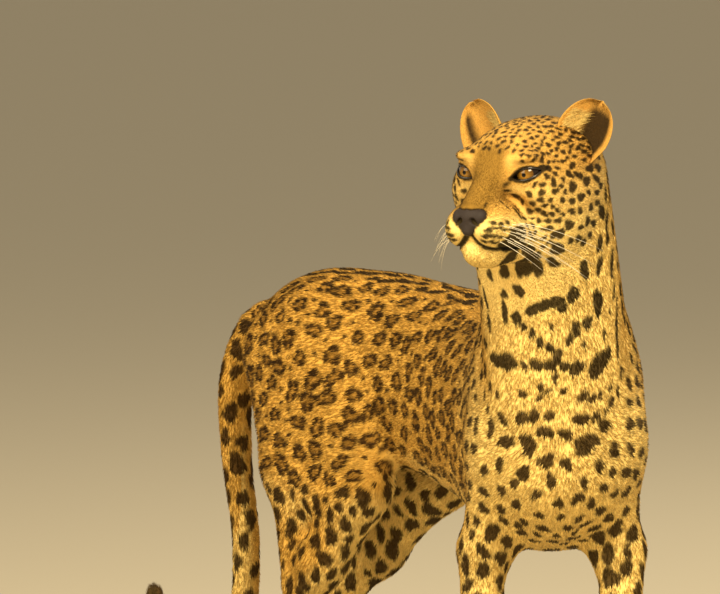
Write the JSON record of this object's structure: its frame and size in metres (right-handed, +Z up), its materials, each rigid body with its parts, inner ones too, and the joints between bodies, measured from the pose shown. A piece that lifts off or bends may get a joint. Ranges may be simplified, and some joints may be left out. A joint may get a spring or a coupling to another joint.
{
  "type": "leopard",
  "caption": "Life-size still model of a leopard that stands alert with its head raised and turned aside, as a museum shows.",
  "frame": {"origin": "on the floor, in the middle of the model's box", "axes": "+X from the tail towards the chest, +Y towards the animal's left, +Z up"},
  "size_m": [1.2956, 0.4168, 0.9161],
  "materials": {
    "coat": "short fur with dark rosettes",
    "nose_leather": "smooth and slightly damp",
    "eyeball": "wet gloss, as a glass eye"
  },
  "bodies": {
    "root": {"torso": "coat", "neck": "coat", "head": "coat", "nose": "nose_leather", "ear_left": "coat", "ear_right": "coat", "eye_left": "eyeball", "eye_right": "eyeball", "foreleg_left": "coat", "foreleg_right": "coat", "forepaw_left": "coat", "forepaw_right": "coat", "thigh_left": "coat", "thigh_right": "coat", "shin_left": "coat", "shin_right": "coat", "hindpaw_left": "coat", "hindpaw_right": "coat", "tail_base": "coat", "tail_middle": "coat", "tail_tip": "coat"}
  },
  "joints": []
}
